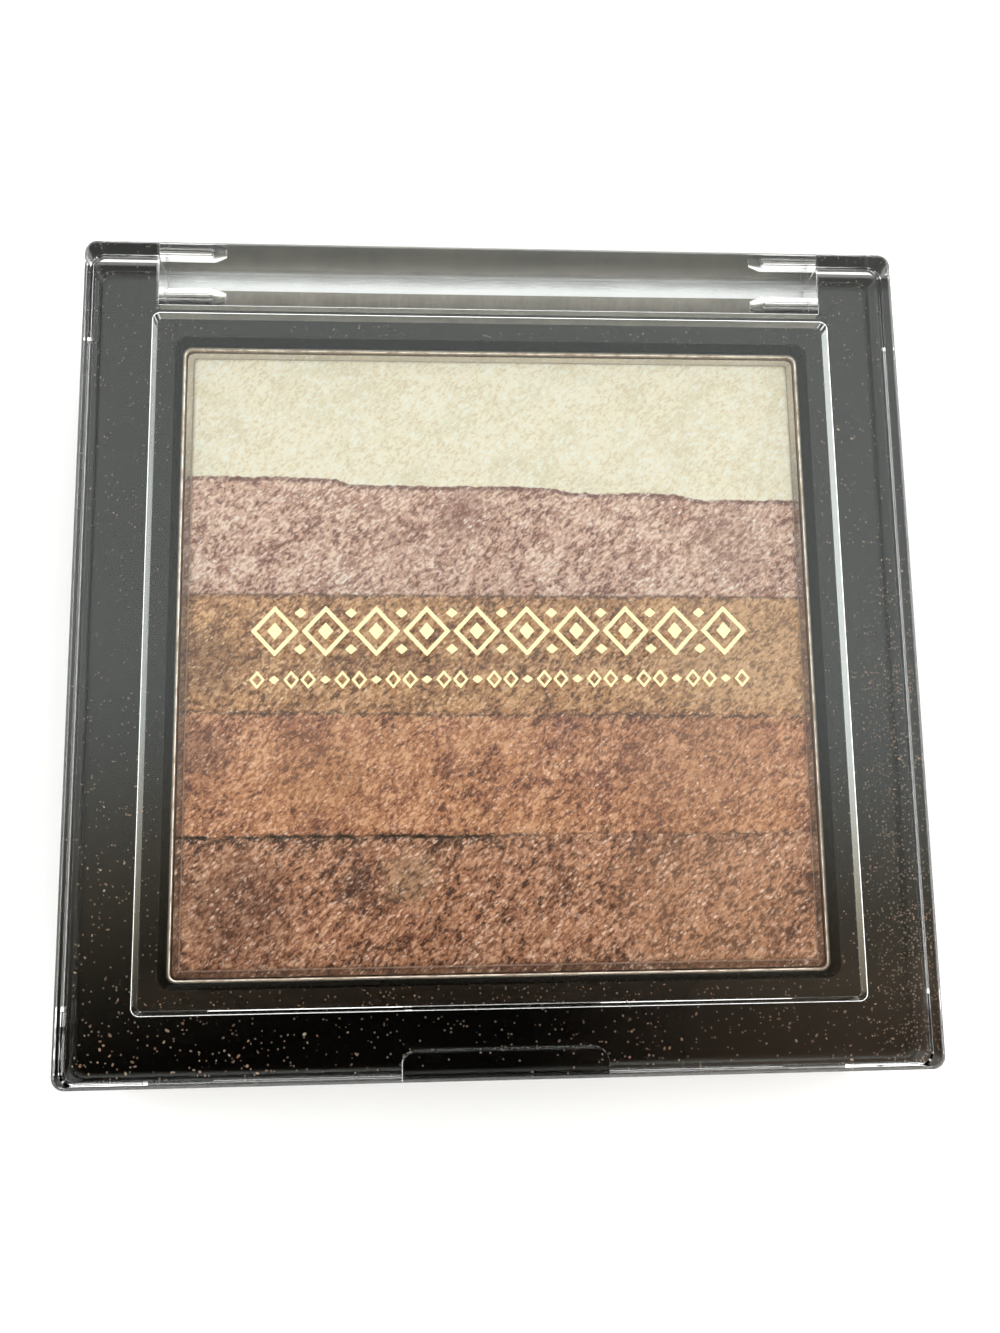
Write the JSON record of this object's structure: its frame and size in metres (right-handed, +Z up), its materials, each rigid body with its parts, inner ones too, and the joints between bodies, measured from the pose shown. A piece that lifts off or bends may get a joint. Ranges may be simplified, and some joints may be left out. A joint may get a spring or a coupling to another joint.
{
  "type": "eyeshadow palette",
  "caption": "Square eyeshadow compact with a thick clear hinged lid over a black base that holds one metal pan of pressed powder bands.",
  "frame": {"origin": "centre of the closed case's footprint, on the surface that it rests on", "axes": "+Z up through the lid, +Y to the hinge at the back, -Y to the thumb notch at the front, X across"},
  "size_m": [0.065, 0.0646, 0.012],
  "materials": {
    "black_plastic": "glossy black moulding",
    "clear_plastic": "polished clear moulding",
    "aluminium": "plain drawn sheet",
    "steel": "bright drawn wire",
    "adhesive": "double-sided adhesive sheet",
    "label_film": "blank film label",
    "cream_powder": "pearly pressed powder",
    "pink_powder": "shimmering pressed powder",
    "gold_powder": "shimmering pressed powder",
    "copper_powder": "shimmering pressed powder",
    "bronze_powder": "shimmering pressed powder"
  },
  "bodies": {
    "base": {"base_frame": "black_plastic", "bottom_cover": "black_plastic", "back_label": "label_film", "pan_adhesive": "adhesive", "powder_pan": "aluminium", "shade_cream": "cream_powder", "shade_pink": "pink_powder", "shade_gold": "gold_powder", "shade_copper": "copper_powder", "shade_bronze": "bronze_powder", "hinge_pin_left": "steel", "hinge_pin_right": "steel"},
    "lid": {"clear_lid": "clear_plastic"}
  },
  "joints": [
    {"name": "lid_hinge", "type": "hinge", "parent": "base", "child": "lid", "pos_m": [0, 0.03035, 0.0024], "axis": [-1, 0, 0], "range_deg": [0, 92]}
  ]
}
